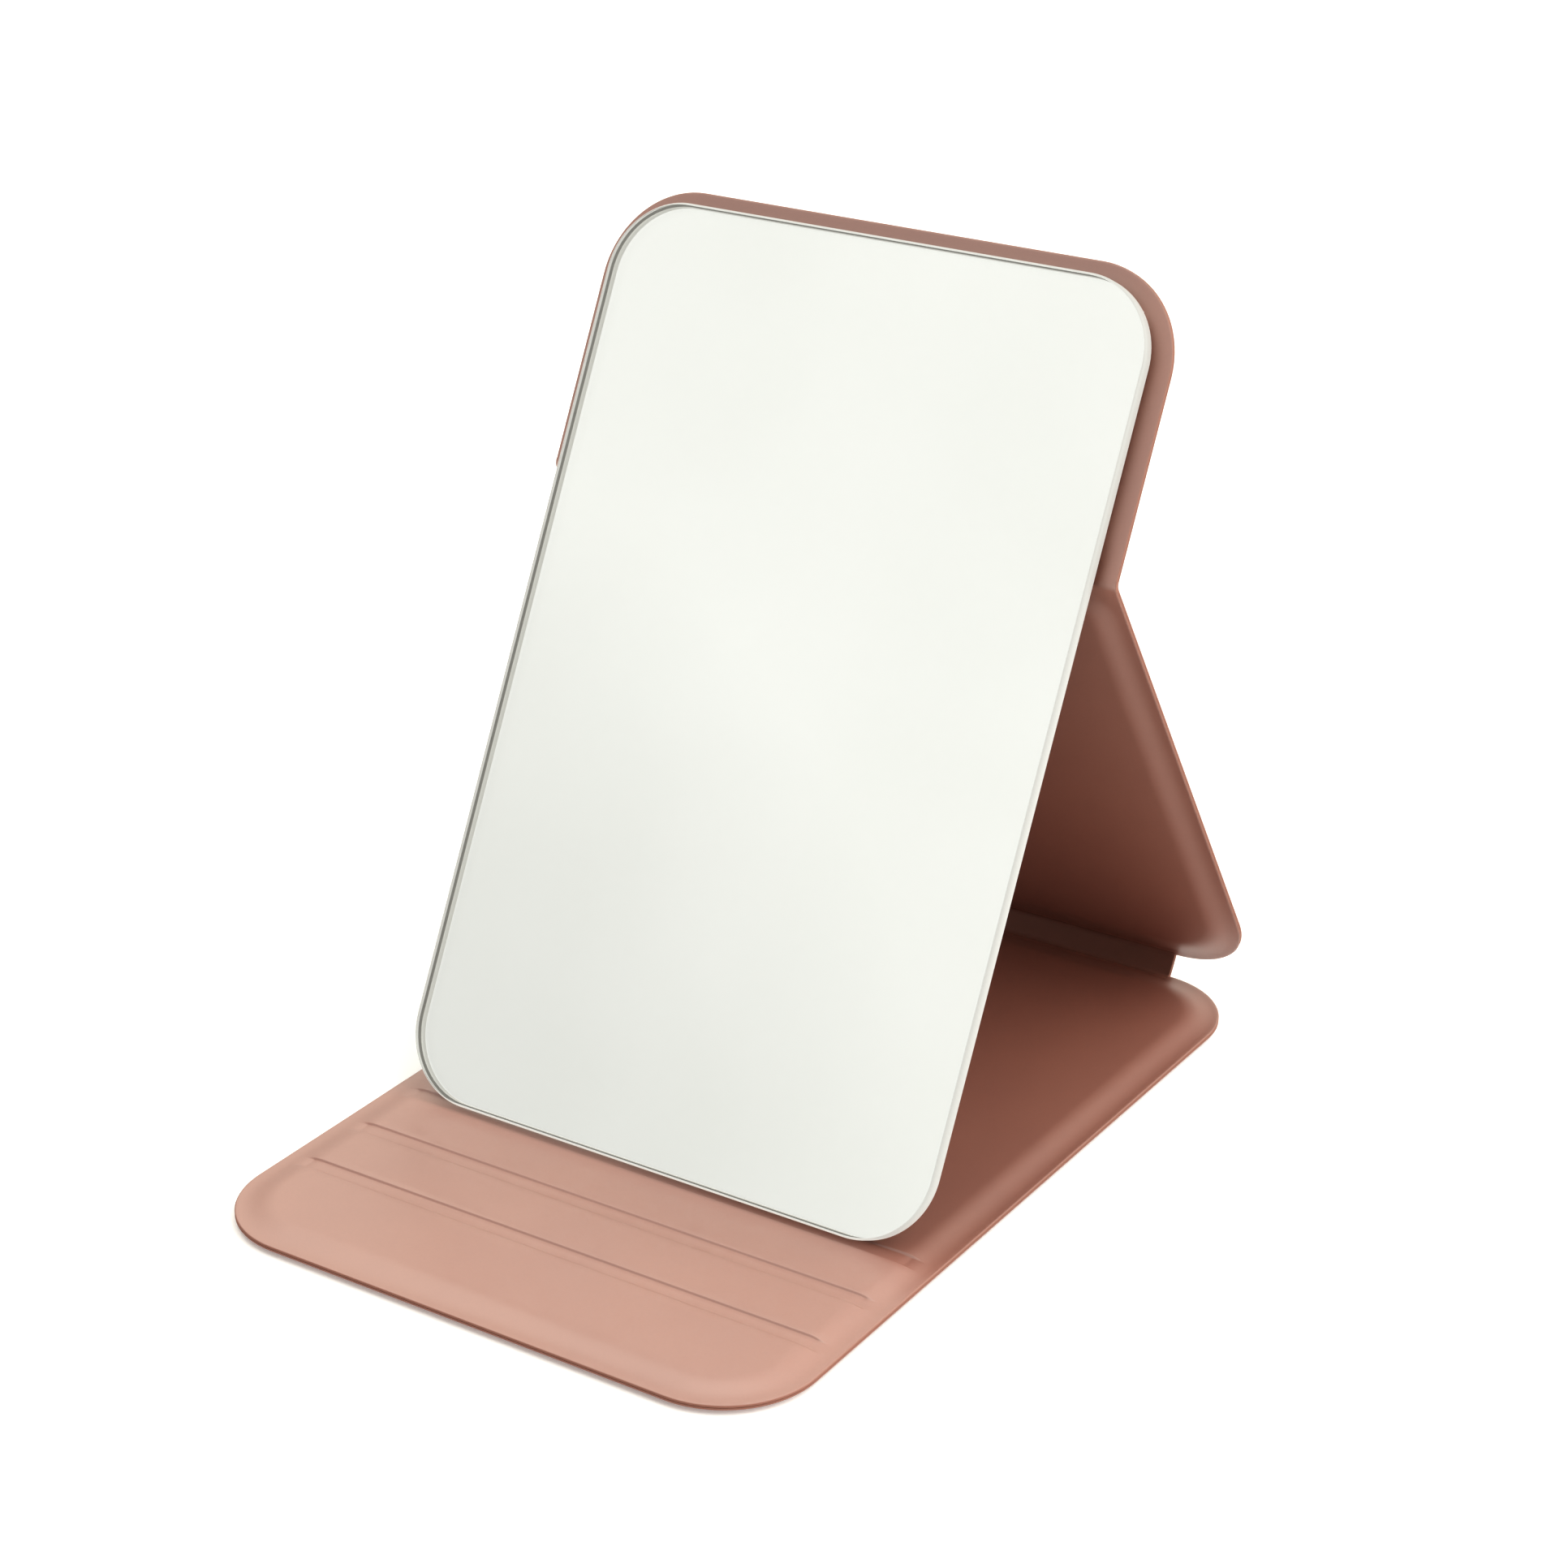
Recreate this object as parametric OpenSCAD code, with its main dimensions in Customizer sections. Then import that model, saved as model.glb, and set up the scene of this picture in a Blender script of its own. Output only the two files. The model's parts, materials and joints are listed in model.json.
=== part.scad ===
// Folding travel mirror in a padded leather case, standing open as an easel.
// The front cover lies flat as the foot. A narrow spine joins it to the strut, and the strut's upper
// edge is creased to a short back panel, which is glued to the upper part of a frameless glass mirror.
// The glass stands with its lower edge at one of three grooves across the foot.
// Origin: centre of the foot's underside. The mirror faces -Y, and +Z is up.

/* [Case] */
// Width of every cover
case_w = 120; // [114:1:128]
// Length of the front cover, which is the foot when the mirror stands
base_l = 178; // [174:1:182]
// Corner radius of the covers
corner_r = 18; // [14:1:22]
// Width across the spine, from crease to crease
spine_w = 5.2; // [4.6:0.1:6.2]

/* [Cover layers] */
// Thickness of each leather-cloth skin
skin_t = 0.5; // [0.4:0.05:0.6]
// Thickness of the grey board
board_t = 1.4; // [1.2:0.1:1.6]
// Thickness of the foam sheet over the board
foam_t = 0.5; // [0.45:0.05:0.6]
// Width of the flat rim where the two skins are welded together
rim_w = 2.6; // [2:0.1:3.2]
// Width of the soft shoulder between the rim and the raised field
shoulder_w = 3; // [2.4:0.1:3.6]
// Radius of the raised field's corners at a straight crease
field_corner_r = 2; // [1:0.5:4]

/* [Tilt grooves] */
// Number of grooves across the foot
groove_count = 3; // [2:1:3]
// Width of a groove
groove_w = 3.2; // [2.8:0.1:3.6]
// Depth of a groove, pressed into the foam
groove_depth = 0.4; // [0.2:0.05:0.4]
// Distance from the foot's front edge to the rear wall of the first groove
groove_first = 26.7; // [22:0.1:30]
// Distance from groove to groove
groove_pitch = 15.4; // [14:0.1:16.5]

/* [Mirror] */
// Width of the glass
glass_w = 113.4; // [110:0.2:114]
// Height of the glass
glass_h = 173.4; // [170:0.2:175]
// Corner radius of the glass
glass_r = 14.5; // [11:0.5:17]
// Thickness of the glass alone
glass_t = 2.75; // [2.5:0.05:2.9]
// Width of the ground chamfer round both faces of the glass
glass_chamfer = 0.4; // [0.2:0.05:0.6]
// Thickness of the reflecting silver layer
silver_t = 0.1; // [0.05:0.01:0.12]
// Thickness of the protective paint behind the silver
paint_t = 0.15; // [0.1:0.01:0.2]
// Thickness of the foam tape between the back panel and the glass
tape_t = 0.8; // [0.8:0.05:1]
// How far the tape keeps inside the back panel's raised field
tape_inset = 2; // [1:0.5:5]
// Height of the back crease above the glass's lower edge
crease_height = 121.2; // [119:0.1:123]
// How far the covers reach past the glass at its top and bottom
cover_margin = 3; // [2.6:0.1:3.4]

/* [Stance] */
// Angle of the spine above the table
spine_angle = 59; // [50:1:70]
// Distance from a groove's rear wall to the glass's rear edge, which stands in front of it
foot_inset = 0.8; // [0.4:0.1:1.2]
// Running gap between the glass's lower edge and the foot's raised field
foot_gap = 0.1; // [0.1:0.02:0.2]
// Gap between a crease's round nose and the seat that turns about it
crease_gap = 0.2; // [0.15:0.01:0.24]
// How far a crease strip reaches back into the rim that carries it
crease_tongue = 1; // [0.8:0.1:1.4]
// How far the spine bows outwards between its two creases
spine_bow = 0.35; // [0.2:0.05:0.45]

/* [Hidden] */
$fn = 96;

// A cover in its own frame: X across, Y along it from its lower edge, Z = 0 on the plane where the
// two skins meet, with the lining on the +Z side.
rise = (board_t + foam_t) / 2;
field_inset = rim_w + shoulder_w;
field_r = corner_r - field_inset;
board_top = board_t - rise;
panel_rise = board_top;
cover_half_t = rise + skin_t;
shoulder_steps = 8;

// Creases and spine
crease_r = skin_t;
seat_r = crease_r + crease_gap;
fold_w = case_w - 2 * corner_r;
spine_bend_r = (pow(spine_w / 2, 2) + pow(spine_bow, 2)) / (2 * spine_bow);

// Lengths of the strut and of the back panel, on both sides of the back crease
strut_l = crease_height + cover_margin;
panel_l = glass_h + cover_margin - crease_height;
glass_back = panel_rise + skin_t + tape_t;

// The closed linkage of foot, spine, strut and mirror in the plane across the creases, as [y, z]
function polar(length, angle) = length * [cos(angle), sin(angle)];
function direction(v) = atan2(v.y, v.x);
// Angle at the start of the first side of a triangle with the three side lengths a, b and c
function corner_angle(a, b, c) = acos((a * a + b * b - c * c) / (2 * a * b));

foot_hinge = [base_l / 2, cover_half_t];
strut_hinge = foot_hinge + polar(spine_w, spine_angle);
glass_foot = [
    groove_first + (groove_count - 1) * groove_pitch - foot_inset - base_l / 2,
    2 * cover_half_t + foot_gap
];
glass_arm = norm([crease_height, glass_back]);
foot_span = strut_hinge - glass_foot;
glass_arm_angle = direction(foot_span) + corner_angle(glass_arm, norm(foot_span), strut_l);
back_hinge = glass_foot + polar(glass_arm, glass_arm_angle);
strut_angle = direction(back_hinge - strut_hinge);
mirror_angle = glass_arm_angle + atan(glass_back / crease_height);

// Rounded end of an outline, with its edge on y = 0
module round_end(width, r) {
    translate([r - width / 2, 0]) square([width - 2 * r, r]);
    for (side = [-1, 1]) translate([side * (width / 2 - r), r]) circle(r);
}

// Cover outline of size [width, length] from y = 0, with corner radii r = [lower end, upper end]
module outline(size, r) {
    translate([-size.x / 2, r[0]]) square([size.x, size.y - r[0] - r[1]]);
    if (r[0] > 0) round_end(size.x, r[0]);
    if (r[1] > 0) translate([0, size.y]) mirror([0, 1]) round_end(size.x, r[1]);
}

// Carries a cross-section round an outline. The section's x = 0 runs on the outline, and +x points outwards.
module sweep_round(size, r) {
    for (side = [0, 1]) mirror([side, 0, 0]) {
        translate([size.x / 2, (size.y + r[0] - r[1]) / 2])
            rotate([90, 0, 0]) linear_extrude(size.y - r[0] - r[1], center = true) children();
        translate([size.x / 2 - r[0], r[0]])
            rotate(-90) rotate_extrude(angle = 90) translate([r[0], 0]) children();
        translate([size.x / 2 - r[1], size.y - r[1]])
            rotate_extrude(angle = 90) translate([r[1], 0]) children();
    }
    rotate([90, 0, -90]) linear_extrude(size.x - 2 * r[0], center = true) children();
    translate([0, size.y])
        rotate([90, 0, 90]) linear_extrude(size.x - 2 * r[1], center = true) children();
}

// Cross-section of the shoulder: half a cosine wave from the raised field down to the rim
module shoulder_section(height) {
    steps = [for (i = [0:shoulder_steps]) i / shoulder_steps];
    under = [for (s = steps) [shoulder_w * s, height * (1 + cos(180 * s)) / 2]];
    over = [for (i = [shoulder_steps:-1:0]) under[i] + [0, skin_t]];
    polygon(concat(under, over));
}

// Moulded skin of a cover: welded rim, soft shoulder and raised field
module skin(length, outer_r, inner_r, height) {
    size = [case_w, length];
    field = size - 2 * [field_inset, field_inset];
    linear_extrude(skin_t) difference() {
        outline(size, outer_r);
        translate([0, rim_w])
            outline(size - 2 * [rim_w, rim_w], inner_r + [shoulder_w, shoulder_w]);
    }
    translate([0, field_inset]) {
        sweep_round(field, inner_r) shoulder_section(height);
        translate([0, 0, height]) linear_extrude(skin_t) outline(field, inner_r);
    }
}

// Flat sheet that fills the raised field, such as the board or the foam
module field_sheet(length, inner_r, bottom, thickness) {
    field = [case_w, length] - 2 * [field_inset, field_inset];
    translate([0, field_inset, bottom]) linear_extrude(thickness) outline(field, inner_r);
}

// Both skins welded into one bending strip: a round nose on the crease's axis and a tongue behind it
module crease(width) {
    rotate([0, 90, 0]) cylinder(r = crease_r, h = width, center = true);
    translate([-width / 2, 0, -crease_r]) cube([width, crease_tongue, 2 * crease_r]);
}

// Space that a crease strip takes from the rim at y = 0
module crease_slot(width) {
    translate([-width / 2, -crease_tongue, -cover_half_t])
        cube([width, 2 * crease_tongue, 2 * cover_half_t]);
}

// Space swept by a crease's nose, cut from the edge that turns about it
module crease_seat(width) {
    rotate([0, 90, 0]) cylinder(r = seat_r, h = width, center = true);
}

// Foot

base_r = [corner_r, corner_r];
base_field_r = [field_r, field_r];

module base_frame() translate([0, -base_l / 2, cover_half_t]) children();

module at_base_crease() translate([0, base_l, 0]) mirror([0, 1, 0]) children();

// Places one child at each groove, with x = 0, y = 0 on the middle of the groove's rear wall
module at_grooves() {
    for (i = [0:groove_count - 1]) translate([0, groove_first + i * groove_pitch, 0]) children();
}

groove_l = case_w - 2 * field_inset;

module base_outer_skin() {
    color("rosybrown") base_frame() difference() {
        mirror([0, 0, 1]) skin(base_l, base_r, base_field_r, rise);
        at_base_crease() crease_slot(fold_w);
    }
}

module base_board() {
    color("darkgray") base_frame() field_sheet(base_l, base_field_r, -rise, board_t);
}

module base_foam() {
    color("whitesmoke") base_frame() difference() {
        field_sheet(base_l, base_field_r, board_top, foam_t);
        at_grooves() translate([-case_w / 2, -groove_w - skin_t, rise - groove_depth])
            cube([case_w, groove_w + 2 * skin_t, foam_t]);
    }
}

module base_lining() {
    color("tan") base_frame() difference() {
        union() {
            skin(base_l, base_r, base_field_r, rise);
            at_grooves() translate([-groove_l / 2, -groove_w - skin_t, rise - groove_depth])
                cube([groove_l, groove_w + 2 * skin_t, skin_t]);
        }
        at_grooves() translate([-groove_l / 2, -groove_w, cover_half_t - groove_depth])
            cube([groove_l, groove_w, skin_t]);
        at_base_crease() crease_slot(fold_w);
    }
}

module base_crease() {
    color("brown") base_frame() at_base_crease() crease(fold_w);
}

// Spine

module spine_frame() translate([0, foot_hinge.x, foot_hinge.y]) rotate([spine_angle, 0, 0]) children();

// Bowed strip between the two crease axes, from radius inner to outer about the bow's centre
module spine_layer(inner, outer) {
    spine_frame() difference() {
        intersection() {
            translate([0, spine_w / 2, spine_bend_r - spine_bow]) rotate([0, 90, 0]) difference() {
                cylinder(r = outer, h = fold_w, center = true);
                cylinder(r = inner, h = case_w, center = true);
            }
            translate([-case_w / 2, 0, -spine_w / 2]) cube([case_w, spine_w, spine_w]);
        }
        crease_seat(case_w);
        translate([0, spine_w, 0]) crease_seat(case_w);
    }
}

module spine_outer_skin() {
    color("sienna") spine_layer(spine_bend_r, spine_bend_r + skin_t);
}

module spine_lining() {
    color("saddlebrown") spine_layer(spine_bend_r - skin_t, spine_bend_r);
}

// Strut

strut_r = [corner_r, 0];
strut_field_r = [field_r, field_corner_r];

module strut_frame() translate([0, strut_hinge.x, strut_hinge.y]) rotate([strut_angle, 0, 0]) children();

// Cuts a strut skin for the crease strip at its lower edge and for the seat at its upper edge
module strut_edges() {
    difference() {
        children();
        crease_slot(fold_w);
        translate([0, strut_l, 0]) crease_seat(2 * case_w);
    }
}

module strut_crease() {
    color("brown") strut_frame() crease(fold_w);
}

module strut_outer_skin() {
    color("rosybrown") strut_frame() strut_edges()
        mirror([0, 0, 1]) skin(strut_l, strut_r, strut_field_r, rise);
}

module strut_board() {
    color("darkgray") strut_frame() field_sheet(strut_l, strut_field_r, -rise, board_t);
}

module strut_foam() {
    color("whitesmoke") strut_frame() field_sheet(strut_l, strut_field_r, board_top, foam_t);
}

module strut_lining() {
    color("tan") strut_frame() strut_edges() skin(strut_l, strut_r, strut_field_r, rise);
}

// Back panel and mirror

panel_r = [0, corner_r];
panel_field_r = [field_corner_r, field_r];

module mirror_frame() translate([0, back_hinge.x, back_hinge.y]) rotate([mirror_angle, 0, 0]) children();

module back_crease() {
    color("brown") mirror_frame() crease(case_w);
}

module back_panel_outer_skin() {
    color("rosybrown") mirror_frame() difference() {
        mirror([0, 0, 1]) skin(panel_l, panel_r, panel_field_r, rise);
        crease_slot(2 * case_w);
    }
}

module back_panel_board() {
    color("darkgray") mirror_frame() field_sheet(panel_l, panel_field_r, -rise, board_t);
}

module back_panel_lining() {
    color("tan") mirror_frame() difference() {
        skin(panel_l, panel_r, panel_field_r, panel_rise);
        crease_slot(2 * case_w);
    }
}

module adhesive_tape() {
    inset = field_inset + tape_inset;
    color("white") mirror_frame() translate([inset - case_w / 2, inset, panel_rise + skin_t])
        cube([case_w - 2 * inset, panel_l - 2 * inset, tape_t]);
}

// Sheet with the outline of the glass, from bottom upwards, kept inside the glass's edge by inset
module glass_sheet(bottom, thickness, inset) {
    size = [glass_w, glass_h] - 2 * [inset, inset];
    translate([0, inset - crease_height, bottom])
        linear_extrude(thickness) outline(size, [glass_r - inset, glass_r - inset]);
}

module back_paint() {
    color("dimgray") mirror_frame() glass_sheet(glass_back, paint_t, glass_chamfer);
}

module silver_coat() {
    color("silver") mirror_frame() glass_sheet(glass_back + paint_t, silver_t, glass_chamfer);
}

module mirror_glass() {
    bottom = glass_back + paint_t + silver_t;
    flat_r = glass_r - glass_chamfer;
    edge = [
        [0, 0],
        [glass_chamfer, glass_chamfer],
        [glass_chamfer, glass_t - glass_chamfer],
        [0, glass_t]
    ];
    color("lightcyan") mirror_frame() {
        glass_sheet(bottom, glass_t, glass_chamfer);
        translate([0, glass_chamfer - crease_height, bottom])
            sweep_round([glass_w, glass_h] - 2 * [glass_chamfer, glass_chamfer], [flat_r, flat_r])
                polygon(edge);
    }
}

base_outer_skin();
base_board();
base_foam();
base_lining();
base_crease();
spine_outer_skin();
spine_lining();
strut_crease();
strut_outer_skin();
strut_board();
strut_foam();
strut_lining();
back_crease();
back_panel_outer_skin();
back_panel_board();
back_panel_lining();
adhesive_tape();
back_paint();
silver_coat();
mirror_glass();
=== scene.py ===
import json
import math

import bpy
import numpy as np
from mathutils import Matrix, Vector


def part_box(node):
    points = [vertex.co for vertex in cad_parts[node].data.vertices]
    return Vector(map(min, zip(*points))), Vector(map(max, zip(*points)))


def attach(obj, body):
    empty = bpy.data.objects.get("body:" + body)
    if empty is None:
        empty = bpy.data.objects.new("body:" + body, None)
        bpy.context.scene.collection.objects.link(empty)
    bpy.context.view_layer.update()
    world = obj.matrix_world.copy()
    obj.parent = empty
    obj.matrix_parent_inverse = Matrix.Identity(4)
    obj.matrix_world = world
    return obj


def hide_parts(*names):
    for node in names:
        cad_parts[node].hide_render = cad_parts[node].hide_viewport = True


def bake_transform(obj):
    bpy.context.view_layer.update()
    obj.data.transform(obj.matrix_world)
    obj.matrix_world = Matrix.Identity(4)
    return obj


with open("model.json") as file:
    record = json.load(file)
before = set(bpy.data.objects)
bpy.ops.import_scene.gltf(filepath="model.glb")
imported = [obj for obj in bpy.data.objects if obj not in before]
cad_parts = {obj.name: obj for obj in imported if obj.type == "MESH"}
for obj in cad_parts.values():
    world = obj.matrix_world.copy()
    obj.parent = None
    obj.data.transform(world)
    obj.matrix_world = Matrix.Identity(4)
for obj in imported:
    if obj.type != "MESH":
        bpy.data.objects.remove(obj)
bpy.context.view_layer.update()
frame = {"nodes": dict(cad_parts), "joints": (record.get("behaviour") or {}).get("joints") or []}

mm = 0.001

# The camera stands to the right of the mirror and looks down at it, as in the photo. Its place,
# its turn and its lens come from a perspective fit of the case's straight edges.
look_at = Vector((6.66, 1.00, 68.78)) * mm
stand_off = 634.8 * mm
turn = math.radians(33.146)
look_down = math.radians(24.198)
sensor_w = 36.0
frame_px = 1932
focal_px = 4349.7

sight = Vector((-math.sin(turn) * math.cos(look_down),
                math.cos(turn) * math.cos(look_down),
                -math.sin(look_down)))
camera_data = bpy.data.cameras.new("camera")
camera_data.sensor_width = sensor_w
camera_data.lens = focal_px / frame_px * sensor_w
camera_data.clip_start = 0.05
camera_data.clip_end = 50
camera = bpy.data.objects.new("camera", camera_data)
camera.location = look_at - sight * stand_off
camera.rotation_mode = "QUATERNION"
camera.rotation_quaternion = sight.to_track_quat("-Z", "Y")
bpy.context.scene.collection.objects.link(camera)
bpy.context.scene.camera = camera

# The foot is the case's front cover: grey board and a thin foam sheet between two skins of leather
# cloth. The skins are pressed over the board and welded to each other all round, which leaves a
# flat rim, a soft shoulder and a raised field. The lining also has the three tilt grooves.
skin_t = 0.5 * mm
rise = 0.95 * mm
rim_w = 2.6 * mm
shoulder_w = 3.0 * mm
corner_r = 18 * mm
crease_corner_r = 9.0 * mm
pad_start = 1.0 * mm
pad_w = 6.5 * mm
fold_half_w = 42 * mm
tongue_l = 1.0 * mm
notch_w = 0.02 * mm
lip_w = 0.35 * mm
lip_drop = 0.16 * mm
seam_w = 0.16 * mm
seam_gap = 0.07 * mm
groove_rears = np.array([26.7, 42.1, 57.5]) * mm
groove_w = 3.2 * mm
groove_depth = 0.4 * mm
groove_wall = 0.5 * mm
groove_slope = 0.7 * mm
# Painted shade at the foot of each groove's rear wall: its width and its darkest share.
groove_shade_w = 0.35 * mm
groove_shade_most = 0.16
cut_w = 0.2 * mm
least_t = 0.05 * mm
tiny = 1e-9
under_trim = 0.6
sharp_past = math.radians(40)
grain_size = 0.5 * mm
pore_size = 0.2 * mm
creasing_size = 2.4 * mm
cloud_size = 34 * mm
hollow_shade = 0.72
hollow_most = 0.15
film_ior = 3.05
film_rough = 0.55
leather_lit = (0.340, 0.116, 0.073)
leather_deep = (0.312, 0.101, 0.064)
# The cut edges' own dark colour, also laid on as painted shade in the folds and grooves.
leather_edge_and_shade = (0.310, 0.155, 0.122)

hinges = {joint["name"]: Vector(joint["pos_m"]) for joint in frame["joints"]}
foot_low, foot_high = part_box("base_outer_skin")
lining_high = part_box("base_lining")[1]
half_w = foot_high.x
foot_l = foot_high.y - foot_low.y
foot_weld_z = (foot_low.z + lining_high.z) / 2


class Wire:
    """One output socket of a node. Arithmetic on wires adds Math nodes."""

    def __init__(self, socket):
        self.socket = socket

    def node(self, kind, settings, inputs, output=0):
        """Adds a node: its settings come first, then its sockets get their values or links."""
        tree = self.socket.id_data
        made = tree.nodes.new(kind)
        for name, value in settings.items():
            setattr(made, name, value)
        for name, value in inputs.items():
            if isinstance(value, Wire):
                tree.links.new(value.socket, made.inputs[name])
            else:
                made.inputs[name].default_value = value
        return Wire(made.outputs[output])

    def math(self, operation, first, second):
        return self.node("ShaderNodeMath", {"operation": operation}, {0: first, 1: second})

    def __add__(self, other):
        return self.math("ADD", self, other)

    def __sub__(self, other):
        return self.math("SUBTRACT", self, other)

    def __rsub__(self, other):
        return self.math("SUBTRACT", other, self)

    def __mul__(self, other):
        return self.math("MULTIPLY", self, other)

    __radd__ = __add__
    __rmul__ = __mul__

    def spread(self, low, high):
        """This value spread out from 0 at low to 1 at high, and held at those beyond them."""
        inputs = {"Value": self, "From Min": low, "From Max": high}
        return self.node("ShaderNodeMapRange", {}, inputs)

    def mixed(self, first, second):
        """A colour that is first where this value is 0 and second where it is 1."""
        colour_a, colour_b, colour_out = 6, 7, 2
        ends = {colour_a: first, colour_b: second}
        ends = {key: end if isinstance(end, Wire) else (*end, 1) for key, end in ends.items()}
        return self.node("ShaderNodeMix", {"data_type": "RGBA"}, {0: self, **ends}, colour_out)

    def noise(self, size, detail=2.0, roughness=0.5):
        """Cloudy pattern from 0 to 1 on these coordinates, with patches of about this size."""
        inputs = {"Vector": self, "Scale": 1 / size, "Detail": detail, "Roughness": roughness}
        return self.node("ShaderNodeTexNoise", {}, inputs)

    def pebbles(self, size):
        """Distance to the nearest of many scattered points that lie about this far apart."""
        inputs = {"Vector": self, "Scale": 1 / size}
        return self.node("ShaderNodeTexVoronoi", {"feature": "SMOOTH_F1"}, inputs)

    def feeds(self, socket):
        self.socket.id_data.links.new(self.socket, socket)


def new_material(name):
    """A new material, its main shader's sockets, and its object coordinates."""
    made = bpy.data.materials.new(name)
    made.use_nodes = True
    shader = made.node_tree.nodes["Principled BSDF"]
    place = made.node_tree.nodes.new("ShaderNodeTexCoord").outputs["Object"]
    return made, shader.inputs, Wire(place)


def leather(name):
    """Coated leather cloth: a satin pearl film over fine pebbled grain, dark where the film is
    gone on cut edges. The same dark colour, with less film, is painted shade in the folds and
    grooves."""
    made, shader, place = new_material(name)
    grain = place.pebbles(grain_size) * 0.6 + place.noise(pore_size, 3.0) * 0.4
    creasing = place.noise(creasing_size, 4.0, 0.6)
    cloud = place.noise(cloud_size, 3.0, 0.55).spread(0.3, 0.7)
    trim_and_shade = place.node("ShaderNodeAttribute", {"attribute_name": "trim_and_shade"}, {}, 2)
    hollow = tuple(hollow_shade * c for c in leather_deep)
    cloth = cloud.mixed(leather_lit, leather_deep)
    body = (grain.spread(0.25, 0.75) * hollow_most).mixed(cloth, hollow)
    trim_and_shade.mixed(body, leather_edge_and_shade).feeds(shader["Base Color"])
    (1 - trim_and_shade).feeds(shader["Coat Weight"])
    (0.40 + creasing * 0.08 + trim_and_shade * 0.2).feeds(shader["Roughness"])
    shader["Specular IOR Level"].default_value = 0.25
    shader["Coat IOR"].default_value = film_ior
    shader["Coat Roughness"].default_value = film_rough
    bump = {"Height": grain * 0.7 + creasing * 0.5, "Strength": 0.3, "Distance": 0.02 * mm}
    place.node("ShaderNodeBump", {}, bump).feeds(shader["Normal"])
    return made


outer_leather = leather("outer_leather")
lining_leather = leather("lining_leather")


def stretch_lines(stops, steps):
    """Grid lines where each stretch between two neighbouring stops has its own number of steps."""
    runs = [np.linspace(a, b, n, endpoint=False) for a, b, n in zip(stops, stops[1:], steps)]
    return np.concatenate([*runs, stops[-1:]])


edge_stops = np.array([0, 0.05, 0.35, 1.0, 2.6, 5.6, 9.0, 18]) * mm
edge_lines = stretch_lines(edge_stops, [1, 5, 3, 5, 10, 9, 6])


def across_lines():
    """Grid lines across a cover: the edge's lines on both sides, with a thin step at the fold."""
    side = half_w - edge_lines
    middle = np.linspace(notch_w - fold_half_w, fold_half_w - notch_w, 40)
    return np.concatenate([-side, middle, side[::-1]])


def along_lines(length, inner_stops=(), inner_steps=(30,)):
    """Grid lines along a cover: the edge's lines at both ends, and the given stretches between."""
    stops = np.array([edge_lines[-1], *inner_stops, length - edge_lines[-1]])
    inner = stretch_lines(stops, inner_steps)
    return np.concatenate([edge_lines[:-1], inner, (length - edge_lines[:-1])[::-1]])


def grooves(x, y, inset):
    """Depth of the tilt grooves: a wall at the rear, a flat floor, and a slow rise to the front.
    They run out where the raised field ends. The second result is painted shade: how much of the
    cut edges' dark colour, with less film, each spot gets, most at the foot of the wall."""
    depth = np.zeros_like(y)
    groove_shade = np.zeros_like(y)
    for rear in groove_rears:
        from_rear = rear - y
        wall = np.clip(from_rear / groove_wall + 1, 0, 1)
        front = np.clip((groove_w - from_rear) / groove_slope, 0, 1)
        cut = (1 - np.cos(math.pi * wall)) * (1 - np.cos(math.pi * front)) / 4
        depth = np.maximum(depth, cut)
        groove_shade = np.maximum(groove_shade, np.exp(-(from_rear / groove_shade_w) ** 2))
    field = np.clip((inset - rim_w) / shoulder_w, 0, 1) ** 2
    return groove_depth * depth * field, groove_shade_most * groove_shade * field


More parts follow.
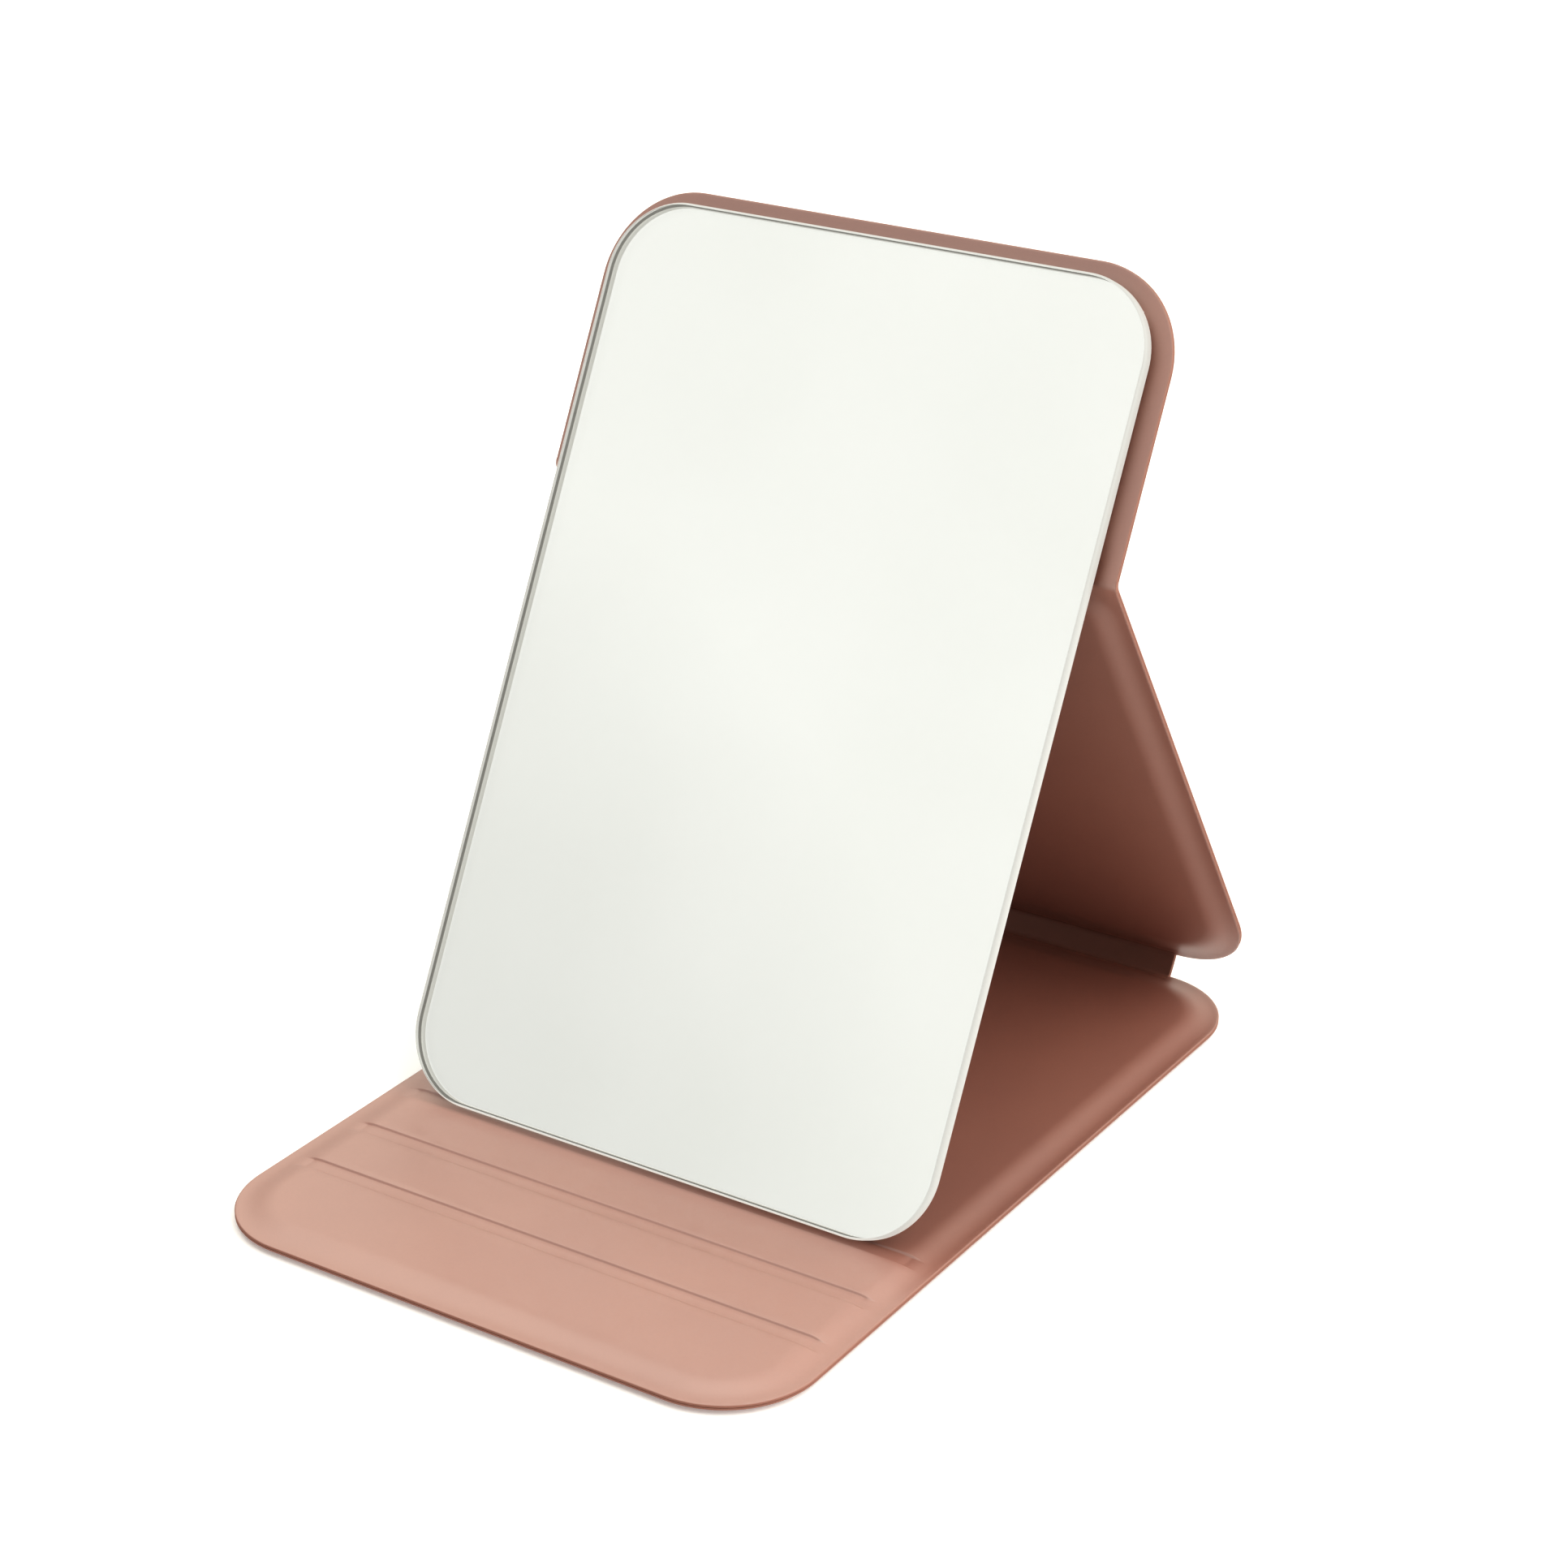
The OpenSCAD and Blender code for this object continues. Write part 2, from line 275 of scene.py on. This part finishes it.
def cover_skin(length, round_ends, slots, top_rise, lines_along, pressed=None):
    """One skin of a cover as a closed shell, in the cover's own frame.

    The grid is a rectangle. At a round end, a point in the corner's square goes along its own
    direction from the arc's centre to the distance max(a, b), where a and b are its distances
    along the two sides. The inset is the distance from a rounded rectangle's edge. The height is
    half a cosine wave of the inset, from the rim up to the raised field. At the cut edge the top
    falls on a quarter ellipse, and the underside lifts a little. slots gives the half width of
    the stretch at each end that stops short of the crease, where the fold strip takes over."""
    x, y = np.meshgrid(across_lines(), lines_along)
    corner = [corner_r if is_round else crease_corner_r for is_round in round_ends]
    for end in (0, 1):
        if round_ends[end]:
            b = corner_r - (length - y if end else y)
            a = np.abs(x) - fold_half_w
            reach = np.maximum(a, b) / np.maximum(np.hypot(a, b), tiny)
            inside = (a > tiny) & (b > tiny)
            x = np.where(inside, np.sign(x) * (fold_half_w + a * reach), x)
            turned = length - corner_r + b * reach if end else corner_r - b * reach
            y = np.where(inside, turned, y)
    near = np.where(y < length / 2, y, length - y)
    r = np.where(y < length / 2, corner[0], corner[1])
    side = half_w - np.abs(x)
    inset = np.where((side < r) & (near < r), r - np.hypot(r - side, r - near),
                     np.minimum(side, near))
    free = side
    for end in (0, 1):
        from_end = length - y if end else y
        reach = inset if round_ends[end] else from_end
        held = (np.abs(x) < slots[end] - notch_w / 2) | (from_end > length / 2)
        free = np.minimum(free, np.where(held, half_w, reach))
    free = np.maximum(free, 0)
    under = top_rise * (1 - np.cos(math.pi * np.clip((inset - rim_w) / shoulder_w, 0, 1))) / 2
    height = top_rise * (1 - np.cos(math.pi * np.clip((inset - pad_start) / pad_w, 0, 1))) / 2
    trim_and_shade = np.clip(1 - free / cut_w, 0, 1)
    if pressed is not None:
        depth, wall = pressed(x, y, inset)
        height = height - depth
        # The grooves' painted shade takes the cut edges' dark colour.
        trim_and_shade = np.maximum(trim_and_shade, wall)
    lip = lip_drop * (1 - np.sqrt(1 - np.clip(1 - free / lip_w, 0, 1) ** 2))
    seam = seam_gap * np.clip(1 - free / seam_w, 0, 1)
    for end in (0, 1):
        pull = tongue_l * np.clip(1 - (length - y if end else y) / rim_w, 0, 1)
        pull = np.where(np.abs(x) < slots[end] - notch_w / 2, pull, 0)
        y = y - pull if end else y + pull
    top = np.stack([x, y, height + skin_t - lip], -1)
    bottom = np.stack([x, y, np.minimum(under + seam, height + skin_t - lip - least_t)], -1)
    return top, bottom, trim_and_shade


def shell_mesh(name, top, bottom, trim_and_shade, place, flipped=False):
    """Joins two grids of one size into a closed mesh, with a wall along their four borders.
    place carries the points into the object's frame, and flipped turns the skin over first."""
    rows, columns = top.shape[:2]
    points = np.concatenate([top.reshape(-1, 3), bottom.reshape(-1, 3)])
    count = rows * columns
    index = np.arange(count).reshape(rows, columns)
    quads = np.stack([index[:-1, :-1], index[:-1, 1:], index[1:, 1:], index[1:, :-1]], -1)
    quads = quads.reshape(-1, 4)
    border = np.concatenate([index[0, :-1], index[:-1, -1], index[-1, :0:-1], index[:0:-1, 0]])
    after = np.roll(border, -1)
    walls = np.stack([border, border + count, after + count, after], -1)
    faces = np.concatenate([quads, quads[:, ::-1] + count, walls])
    if flipped:
        points = points * (1, 1, -1)
        faces = faces[:, ::-1]
    mesh = bpy.data.meshes.new(name)
    mesh.from_pydata(place(points), [], faces)
    values = np.concatenate([trim_and_shade.ravel(), np.maximum(trim_and_shade.ravel(), under_trim)])
    mesh.attributes.new("trim_and_shade", "FLOAT", "POINT").data.foreach_set("value", values)
    return mesh


def add_piece(name, mesh, material):
    """Puts a mesh into the scene as a smooth piece whose edges past 40 degrees stay sharp."""
    mesh.materials.append(material)
    mesh.polygons.foreach_set("use_smooth", np.ones(len(mesh.polygons), bool))
    mesh.set_sharp_from_angle(angle=sharp_past)
    mesh.update()
    piece = bpy.data.objects.new(name, mesh)
    bpy.context.scene.collection.objects.link(piece)
    return piece


def foot_place(points):
    return points + (0, -foot_l / 2, foot_weld_z)


groove_stops = np.concatenate(
    [(rear - groove_w, rear - groove_w + groove_slope, rear, rear + groove_wall)
     for rear in groove_rears])
groove_steps = [4, 6, 3, 5, 8, 6, 3, 5, 8, 6, 3, 5, 40]
lining_lines = along_lines(foot_l, groove_stops, groove_steps)
round_both = (True, True)
foot_slots = (0, fold_half_w)

outer = cover_skin(foot_l, round_both, foot_slots, rise, along_lines(foot_l, (), (50,)))
foot_outer = add_piece("foot_outer_skin", shell_mesh("foot_outer_skin", *outer, foot_place, True),
                       outer_leather)
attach(foot_outer, "base")
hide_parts("base_outer_skin")

inner = cover_skin(foot_l, round_both, foot_slots, rise, lining_lines, grooves)
foot_lining = add_piece("foot_lining", shell_mesh("foot_lining", *inner, foot_place),
                        lining_leather)
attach(foot_lining, "base")
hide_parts("base_lining")

# The foot's core is a sheet of grey board, stamped to the field's outline, with a white foam sheet
# laid over it that gives the lining its soft feel. Both are cut parts that the skins enclose.
board_grey = (0.270, 0.262, 0.250)
board_fleck = (0.140, 0.130, 0.120)
foam_white = (0.800, 0.790, 0.770)
foam_shade = (0.560, 0.550, 0.530)

grey_board, shader, place = new_material("grey_board")
flecks = place.noise(0.9 * mm, 6.0, 0.7)
flecks.spread(0.35, 0.65).mixed(board_fleck, board_grey).feeds(shader["Base Color"])
(0.80 + flecks * 0.15).feeds(shader["Roughness"])
fibres = {"Height": place.noise(0.3 * mm, 5.0, 0.7), "Strength": 0.5, "Distance": 0.05 * mm}
place.node("ShaderNodeBump", {}, fibres).feeds(shader["Normal"])

white_foam, shader, place = new_material("white_foam")
bubbles = place.pebbles(0.35 * mm)
bubbles.spread(0.1, 0.6).mixed(foam_white, foam_shade).feeds(shader["Base Color"])
(0.75 + bubbles * 0.2).feeds(shader["Roughness"])
bump = {"Height": bubbles, "Strength": 0.6, "Distance": 0.08 * mm}
place.node("ShaderNodeBump", {}, bump).feeds(shader["Normal"])


def refinish(node, material):
    """Gives a carried-over part of the frame its finish."""
    mesh = frame["nodes"][node].data
    mesh.materials.clear()
    mesh.materials.append(material)


for node in ("base_board", "strut_board", "back_panel_board"):
    refinish(node, grey_board)
for node in ("base_foam", "strut_foam"):
    refinish(node, white_foam)

# The fold at the back of the foot is where both skins run on, welded into one bending strip. It
# turns from the foot up into the spine, and it is the hinge that the case opens on.
strip_ends = 0.9 * mm
strip_edge_w = 1.1 * mm
crease_steps = 10
# Painted shade for the creases: the fold strips and the spine take most of the cut edges' dark
# colour and lose most of their film.
crease_shade = 0.9
foot_angle = 0.0
spine_angle = math.atan2(hinges["strut_fold"].z - hinges["base_fold"].z,
                         hinges["strut_fold"].y - hinges["base_fold"].y)


def heading(angle):
    return np.array([math.cos(angle), math.sin(angle)])


def fold_line(corner, angle_in, angle_out, reach, steps):
    """Centreline of a fold in the plane across it. It runs straight towards the corner at
    angle_in, round an arc that touches both straights strip_ends away from the corner, and
    straight off again at angle_out until it is reach past the corner. Each point has a normal."""
    bend = angle_out - angle_in
    radius = strip_ends / math.tan(abs(bend) / 2)
    start = corner - strip_ends * heading(angle_in)
    side = math.copysign(1, bend)
    centre = start + side * radius * heading(angle_in + math.pi / 2)
    angles = np.linspace(angle_in, angle_out, steps)
    normals = np.stack([-np.sin(angles), np.cos(angles)], -1)
    arc = centre - side * radius * normals
    points = np.concatenate([[corner - reach * heading(angle_in)], arc,
                             [corner + reach * heading(angle_out)]])
    return points, np.concatenate([normals[:1], normals, normals[-1:]])


def strip_grids(points, normals, low, high, half_length, painted_shade):
    """A strip along a line in the plane across the fold, from offset low to offset high along the
    line's normals. Its two ends at plus and minus half_length are cut edges with a soft lip.
    The last argument lays that share of the cut edges' dark colour, with less film, over the
    whole strip, from 0 to 1: painted shade for a crease."""
    lines = half_length - edge_lines[edge_lines < strip_edge_w]
    x = np.concatenate([-lines, np.linspace(-lines[-1], lines[-1], 30)[1:-1], lines[::-1]])
    free = half_length - np.abs(x)
    lip = lip_drop * (1 - np.sqrt(1 - np.clip(1 - free / lip_w, 0, 1) ** 2))
    grids = []
    for offset, sign in ((high, -1), (low, 1)):
        spot = points[:, None] + normals[:, None] * (offset + sign * lip[None, :, None] / 2)
        across = np.broadcast_to(x[None, :, None], (*spot.shape[:2], 1))
        grids.append(np.concatenate([across, spot], -1))
    trim_and_shade = np.broadcast_to(np.clip(1 - free / cut_w, painted_shade, 1), grids[0].shape[:2])
    return grids[0], grids[1], trim_and_shade


def stay(points):
    return points


def corner_of(joint):
    return np.array([hinges[joint].y, hinges[joint].z])


def bend_over(piece):
    """Bakes a fold strip's transform into its mesh."""
    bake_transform(piece)


# The foot's fold strip is darkened with painted shade.
line = fold_line(corner_of("base_fold"), foot_angle, spine_angle, tongue_l, crease_steps)
grids = strip_grids(*line, -skin_t, skin_t, fold_half_w, crease_shade)
foot_fold = add_piece("foot_fold", shell_mesh("foot_fold", *grids, stay),
                      outer_leather)
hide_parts("base_crease")
bend_over(foot_fold)

# The spine is the narrow strip between the two folds, which closes the case's edge. It has no
# board: it is only the outer skin and the lining, one on the other.
strut_angle = math.atan2(hinges["back_fold"].z - hinges["strut_fold"].z,
                         hinges["back_fold"].y - hinges["strut_fold"].y)
along_spine = np.linspace(tongue_l, (corner_of("strut_fold") - corner_of("base_fold"))
                          @ heading(spine_angle) - tongue_l, 7)
spine_points = corner_of("base_fold") + along_spine[:, None] * heading(spine_angle)
spine_normals = np.tile(heading(spine_angle + math.pi / 2), (len(along_spine), 1))

# Both spine skins are darkened all over with painted shade.
grids = strip_grids(spine_points, spine_normals, -skin_t, 0, fold_half_w, crease_shade)
spine_outer = add_piece("spine_outer", shell_mesh("spine_outer", *grids, stay),
                        outer_leather)
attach(spine_outer, "spine")
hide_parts("spine_outer_skin")

grids = strip_grids(spine_points, spine_normals, 0, skin_t, fold_half_w, crease_shade)
spine_inner = add_piece("spine_inner", shell_mesh("spine_inner", *grids, stay),
                        lining_leather)
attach(spine_inner, "spine")
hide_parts("spine_lining")

# The strut is the lower part of the back cover, which isn't glued to the glass. Its skins are
# moulded like the foot's. Its lower edge has a fold, and its upper edge ends straight at the next.
strut_l = np.linalg.norm(corner_of("back_fold") - corner_of("strut_fold"))
strut_ends = (True, False)
strut_slots = (fold_half_w, 2 * half_w)


def turned(corner, angle):
    """Carries a cover's own frame to its lower fold, turned up by the angle."""
    def place(points):
        y, z = points[:, 1:2], points[:, 2:]
        spot = corner + y * heading(angle) + z * heading(angle + math.pi / 2)
        return np.concatenate([points[:, :1], spot], 1)
    return place


strut_place = turned(corner_of("strut_fold"), strut_angle)
strut_lines = along_lines(strut_l, (), (30,))
grids = cover_skin(strut_l, strut_ends, strut_slots, rise, strut_lines)
strut_outer = add_piece("strut_outer", shell_mesh("strut_outer", *grids, strut_place, True),
                        outer_leather)
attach(strut_outer, "strut")
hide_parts("strut_outer_skin")

strut_inner = add_piece("strut_inner", shell_mesh("strut_inner", *grids, strut_place),
                        lining_leather)
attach(strut_inner, "strut")
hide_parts("strut_lining")

# The strut's fold strip is darkened with painted shade.
line = fold_line(corner_of("strut_fold"), spine_angle, strut_angle, tongue_l, crease_steps)
grids = strip_grids(*line, -skin_t, skin_t, fold_half_w, crease_shade)
strut_fold_strip = add_piece("strut_fold_strip", shell_mesh("strut_fold_strip", *grids, stay),
                             outer_leather)
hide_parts("strut_crease")
bend_over(strut_fold_strip)

# The back panel is the upper part of the back cover. Its outer skin is moulded like the others,
# while its lining is nearly flat, because the mirror is glued to it with a sheet of foam tape.
mirror_angle = math.radians(63.0163)
panel_l = 55.2 * mm
panel_rise = 0.45 * mm
panel_ends = (False, True)
panel_slots = (2 * half_w, 0)

panel_place = turned(corner_of("back_fold"), mirror_angle)
panel_lines = along_lines(panel_l, (), (12,))
grids = cover_skin(panel_l, panel_ends, panel_slots, rise, panel_lines)
panel_outer = add_piece("panel_outer", shell_mesh("panel_outer", *grids, panel_place, True),
                        outer_leather)
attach(panel_outer, "mirror")
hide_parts("back_panel_outer_skin")

grids = cover_skin(panel_l, panel_ends, panel_slots, panel_rise, panel_lines)
panel_inner = add_piece("panel_inner", shell_mesh("panel_inner", *grids, panel_place),
                        lining_leather)
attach(panel_inner, "mirror")
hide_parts("back_panel_lining")

line = fold_line(corner_of("back_fold"), strut_angle, mirror_angle, tongue_l, crease_steps)
grids = strip_grids(*line, -skin_t, skin_t, half_w, 0)
back_fold_strip = add_piece("back_fold_strip", shell_mesh("back_fold_strip", *grids, stay),
                            outer_leather)
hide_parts("back_crease")
bend_over(back_fold_strip)

# The tape is a sheet of white foam that is sticky on both faces. It holds the glass to the back
# panel only, so the strut below stays free to swing away from the glass.
tape_white = (0.780, 0.780, 0.760)
tape_cell = (0.600, 0.600, 0.580)

foam_tape, shader, place = new_material("foam_tape")
cells = place.pebbles(0.3 * mm)
cells.spread(0.1, 0.6).mixed(tape_white, tape_cell).feeds(shader["Base Color"])
(0.6 + cells * 0.3).feeds(shader["Roughness"])
bump = {"Height": cells, "Strength": 0.5, "Distance": 0.06 * mm}
place.node("ShaderNodeBump", {}, bump).feeds(shader["Normal"])
refinish("adhesive_tape", foam_tape)

# The mirror's back is silvered and then painted. The paint is a thin dark brown coat with a slight
# orange peel, laid on by roller. The silver shows through the glass from the front.
paint_brown = (0.060, 0.036, 0.030)
paint_worn = (0.095, 0.062, 0.052)
silver_tint = (0.965, 0.966, 0.955)
silver_dull = (0.935, 0.937, 0.922)

backing_paint, shader, place = new_material("backing_paint")
patches = place.noise(18 * mm, 4.0, 0.6)
specks = place.noise(0.6 * mm, 3.0)
patches.spread(0.35, 0.7).mixed(paint_brown, paint_worn).feeds(shader["Base Color"])
(0.42 + specks * 0.16).feeds(shader["Roughness"])
peel = {"Height": specks + patches * 0.3, "Strength": 0.35, "Distance": 0.04 * mm}
place.node("ShaderNodeBump", {}, peel).feeds(shader["Normal"])
refinish("back_paint", backing_paint)

silver_layer, shader, place = new_material("silver_layer")
bloom = place.noise(60 * mm, 2.0, 0.5)
bloom.spread(0.3, 0.7).mixed(silver_tint, silver_dull).feeds(shader["Base Color"])
(0.012 + bloom * 0.01).feeds(shader["Roughness"])
shader["Metallic"].default_value = 1.0
refinish("silver_coat", silver_layer)

# The mirror is one frameless pane of float glass. Its corners are round, and its edge and the
# narrow chamfers on both faces are ground, which leaves them finely frosted and pale.
glass_w = 113.4 * mm
glass_h = 173.4 * mm
glass_r = 14.5 * mm
glass_t = 2.75 * mm
glass_chamfer = 0.4 * mm
glass_back = 2.0 * mm
silver_clear = 0.02 * mm
edge_round = 0.05 * mm
crease_height = 121.2 * mm
glass_ior = 1.52
foot_glow_top = 3 * mm
side_glow_from = 6 * mm
glass_clear = (0.992, 0.995, 0.988)
glass_haze = (0.985, 0.989, 0.981)
glass_ground = (0.090, 0.088, 0.082)
glass_ground_dull = (0.060, 0.059, 0.055)
# Painted light: the ground edges glow with these emission colours, brighter where the pane stands
# on the lit lining.
side_glow = (0.430, 0.425, 0.400)
foot_glow = (0.620, 0.600, 0.550)
chamfer_glow = (0.150, 0.146, 0.132)

clear_glass, shader, place = new_material("clear_glass")
film = place.noise(40 * mm, 3.0, 0.5)
film.spread(0.3, 0.7).mixed(glass_clear, glass_haze).feeds(shader["Base Color"])
(film * 0.006).feeds(shader["Roughness"])
shader["Transmission Weight"].default_value = 1.0
shader["IOR"].default_value = glass_ior


def ground(name, glow_low, glow_high):
    """Ground glass: fine frost with an emission that is painted light, for the light the pane
    carries to its edges. The painted glow is glow_low where the pane stands on the lit lining,
    glow_high above."""
    made, shader, place = new_material(name)
    frost = place.noise(0.25 * mm, 4.0, 0.65)
    frost.mixed(glass_ground_dull, glass_ground).feeds(shader["Base Color"])
    (0.28 + frost * 0.2).feeds(shader["Roughness"])
    height = place.node("ShaderNodeSeparateXYZ", {}, {"Vector": place}, 2)
    glow = height.spread(foot_glow_top, side_glow_from).mixed(glow_low, glow_high)
    glow.feeds(shader["Emission Color"])
    shader["Emission Strength"].default_value = 1.0
    shader["IOR"].default_value = glass_ior
    bump = {"Height": frost, "Strength": 0.4, "Distance": 0.02 * mm}
    place.node("ShaderNodeBump", {}, bump).feeds(shader["Normal"])
    return made


ground_glass = ground("ground_glass", foot_glow, side_glow)
rear_chamfer = ground("rear_chamfer", chamfer_glow, chamfer_glow)


def pane_ring(inset, z):
    """The pane's outline at one inset and height: four arcs about the corners' centres, whose
    radius is the corner radius less the inset, joined by straight runs."""
    turns = np.linspace(0, math.pi / 2, 25)
    r = glass_r - inset
    arcs = []
    for quarter, (sx, sy) in enumerate(((1, 1), (-1, 1), (-1, -1), (1, -1))):
        angles = turns + quarter * math.pi / 2
        cx = sx * (glass_w / 2 - glass_r)
        cy = sy * (glass_h / 2 - glass_r) + glass_h / 2 - crease_height
        arcs.append(np.stack([cx + r * np.cos(angles), cy + r * np.sin(angles),
                              np.full_like(angles, z)], -1))
    return np.concatenate(arcs)


back_z = glass_back + silver_clear
front_z = glass_back + glass_t
pane_profile = [
    (glass_chamfer + edge_round, back_z),
    (glass_chamfer - edge_round, back_z + edge_round),
    (edge_round, back_z + glass_chamfer - edge_round),
    (0, back_z + glass_chamfer + edge_round),
    (0, front_z - glass_chamfer - edge_round),
    (edge_round, front_z - glass_chamfer + edge_round),
    (glass_chamfer - edge_round, front_z - edge_round),
    (glass_chamfer + edge_round, front_z)]
rings = [pane_ring(inset, z) for inset, z in pane_profile]
ring_l = len(rings[0])
index = np.arange(len(rings) * ring_l).reshape(len(rings), ring_l)
after = np.roll(index, -1, axis=1)
walls = np.stack([index[:-1], after[:-1], after[1:], index[1:]], -1).reshape(-1, 4)
pane_mesh = bpy.data.meshes.new("glass_pane")
pane_mesh.from_pydata(panel_place(np.concatenate(rings)), [],
                      [*walls.tolist(), index[0, ::-1].tolist(), index[-1].tolist()])
glass_pane = add_piece("glass_pane", pane_mesh, clear_glass)
pane_mesh.materials.append(ground_glass)
pane_mesh.materials.append(rear_chamfer)
clear, wall, rear = 0, 1, 2
bands = [rear, rear, rear, wall, wall, wall, clear]
finish = np.repeat(bands, ring_l).tolist() + [clear, clear]
pane_mesh.polygons.foreach_set("material_index", finish)
smooth_faces = [True] * (len(pane_mesh.polygons) - 2) + [False] * 2
pane_mesh.polygons.foreach_set("use_smooth", smooth_faces)
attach(glass_pane, "mirror")
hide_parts("mirror_glass")

# The studio is a dim room with a white table, a ceiling light that leans to the rear, a lit wall
# at the rear right and two softboxes, one high at the left and one at the right. The mirror looks
# at a pale screen. Past the table the camera alone sees a white backdrop, which gives no light.
floor_half = 12.0
table_glow = 0.15
floor_white = (0.900, 0.900, 0.900)
floor_shade = (0.880, 0.880, 0.880)
backdrop_white = (1.0, 1.0, 1.0)
room_dim = (0.040, 0.040, 0.040)
room_bright = (0.930, 0.920, 0.825)
screen_white = (0.935, 0.937, 0.912)
above = (0.22, 0.48, 0.85)
rear_right = (0.80, 0.60, 0.0)
mirror_sees = (-0.500, -0.781, 0.377)
grey_patch = (-0.62, -0.76, 0.20)

floor_mesh = bpy.data.meshes.new("floor")
floor_mesh.from_pydata([(-floor_half, -floor_half, 0), (floor_half, -floor_half, 0),
                        (floor_half, floor_half, 0), (-floor_half, floor_half, 0)],
                       [], [(0, 1, 2, 3)])
floor_paint, shader, place = new_material("floor_paint")
place.noise(0.3, 2.0).spread(0.3, 0.7).mixed(floor_white, floor_shade).feeds(shader["Base Color"])
shader["Roughness"].default_value = 0.9
shader["Specular IOR Level"].default_value = 0.1
shader["Emission Color"].default_value = (1, 1, 1, 1)
shader["Emission Strength"].default_value = table_glow
floor_mesh.materials.append(floor_paint)
floor = bpy.data.objects.new("floor", floor_mesh)
bpy.context.scene.collection.objects.link(floor)

world = bpy.data.worlds.new("studio")
world.use_nodes = True
background = world.node_tree.nodes["Background"].inputs
around = Wire(world.node_tree.nodes.new("ShaderNodeTexCoord").outputs["Generated"])
height = around.node("ShaderNodeSeparateXYZ", {}, {"Vector": around}, 2)


def toward(direction):
    """Cosine of the angle between the way one looks into the room and a direction."""
    return around.node("ShaderNodeVectorMath", {"operation": "DOT_PRODUCT"},
                       {0: around, 1: direction}, 1)


ceiling = toward(above).spread(0.08, 0.55)
side_wall = toward(rear_right).spread(0.3, 1.0)
lit = 1 - (1 - ceiling) * (1 - side_wall)
clouds = around.noise(0.16, 2.0, 0.4).spread(0.3, 0.7)
screen = 0.68 + clouds * 0.02 + height * 0.12 - toward(grey_patch).spread(0.975, 1.0) * 0.12
in_mirror = toward(mirror_sees).spread(0.84, 0.93)
lit = lit * (1 - in_mirror) + screen * in_mirror
room = lit.mixed(room_dim, in_mirror.mixed(room_bright, screen_white))
camera_ray = around.node("ShaderNodeLightPath", {}, {}, 0)
camera_ray.mixed(room, backdrop_white).feeds(background["Color"])
bpy.context.scene.world = world
bpy.context.scene.view_settings.view_transform = "Standard"
bpy.context.scene.view_settings.look = "High Contrast"


def softbox(name, place, aim, size, power, tint):
    """A square area light at a place, turned towards a point."""
    data = bpy.data.lights.new(name, "AREA")
    data.shape = "SQUARE"
    data.size = size
    data.energy = power
    data.color = tint
    lamp = bpy.data.objects.new(name, data)
    lamp.location = place
    lamp.rotation_mode = "QUATERNION"
    lamp.rotation_quaternion = (Vector(aim) - Vector(place)).to_track_quat("-Z", "Y")
    bpy.context.scene.collection.objects.link(lamp)


table_middle = (0, 0, 0)
warm_white = (1.0, 0.97, 0.92)
cool_white = (0.95, 1.0, 0.98)
softbox("top_softbox", place=(-0.45, 0.15, 1.45), aim=table_middle, size=1.2, power=2.7,
        tint=warm_white)
softbox("right_softbox", place=(0.95, 0.20, 0.75), aim=table_middle, size=1.4, power=9,
        tint=cool_white)
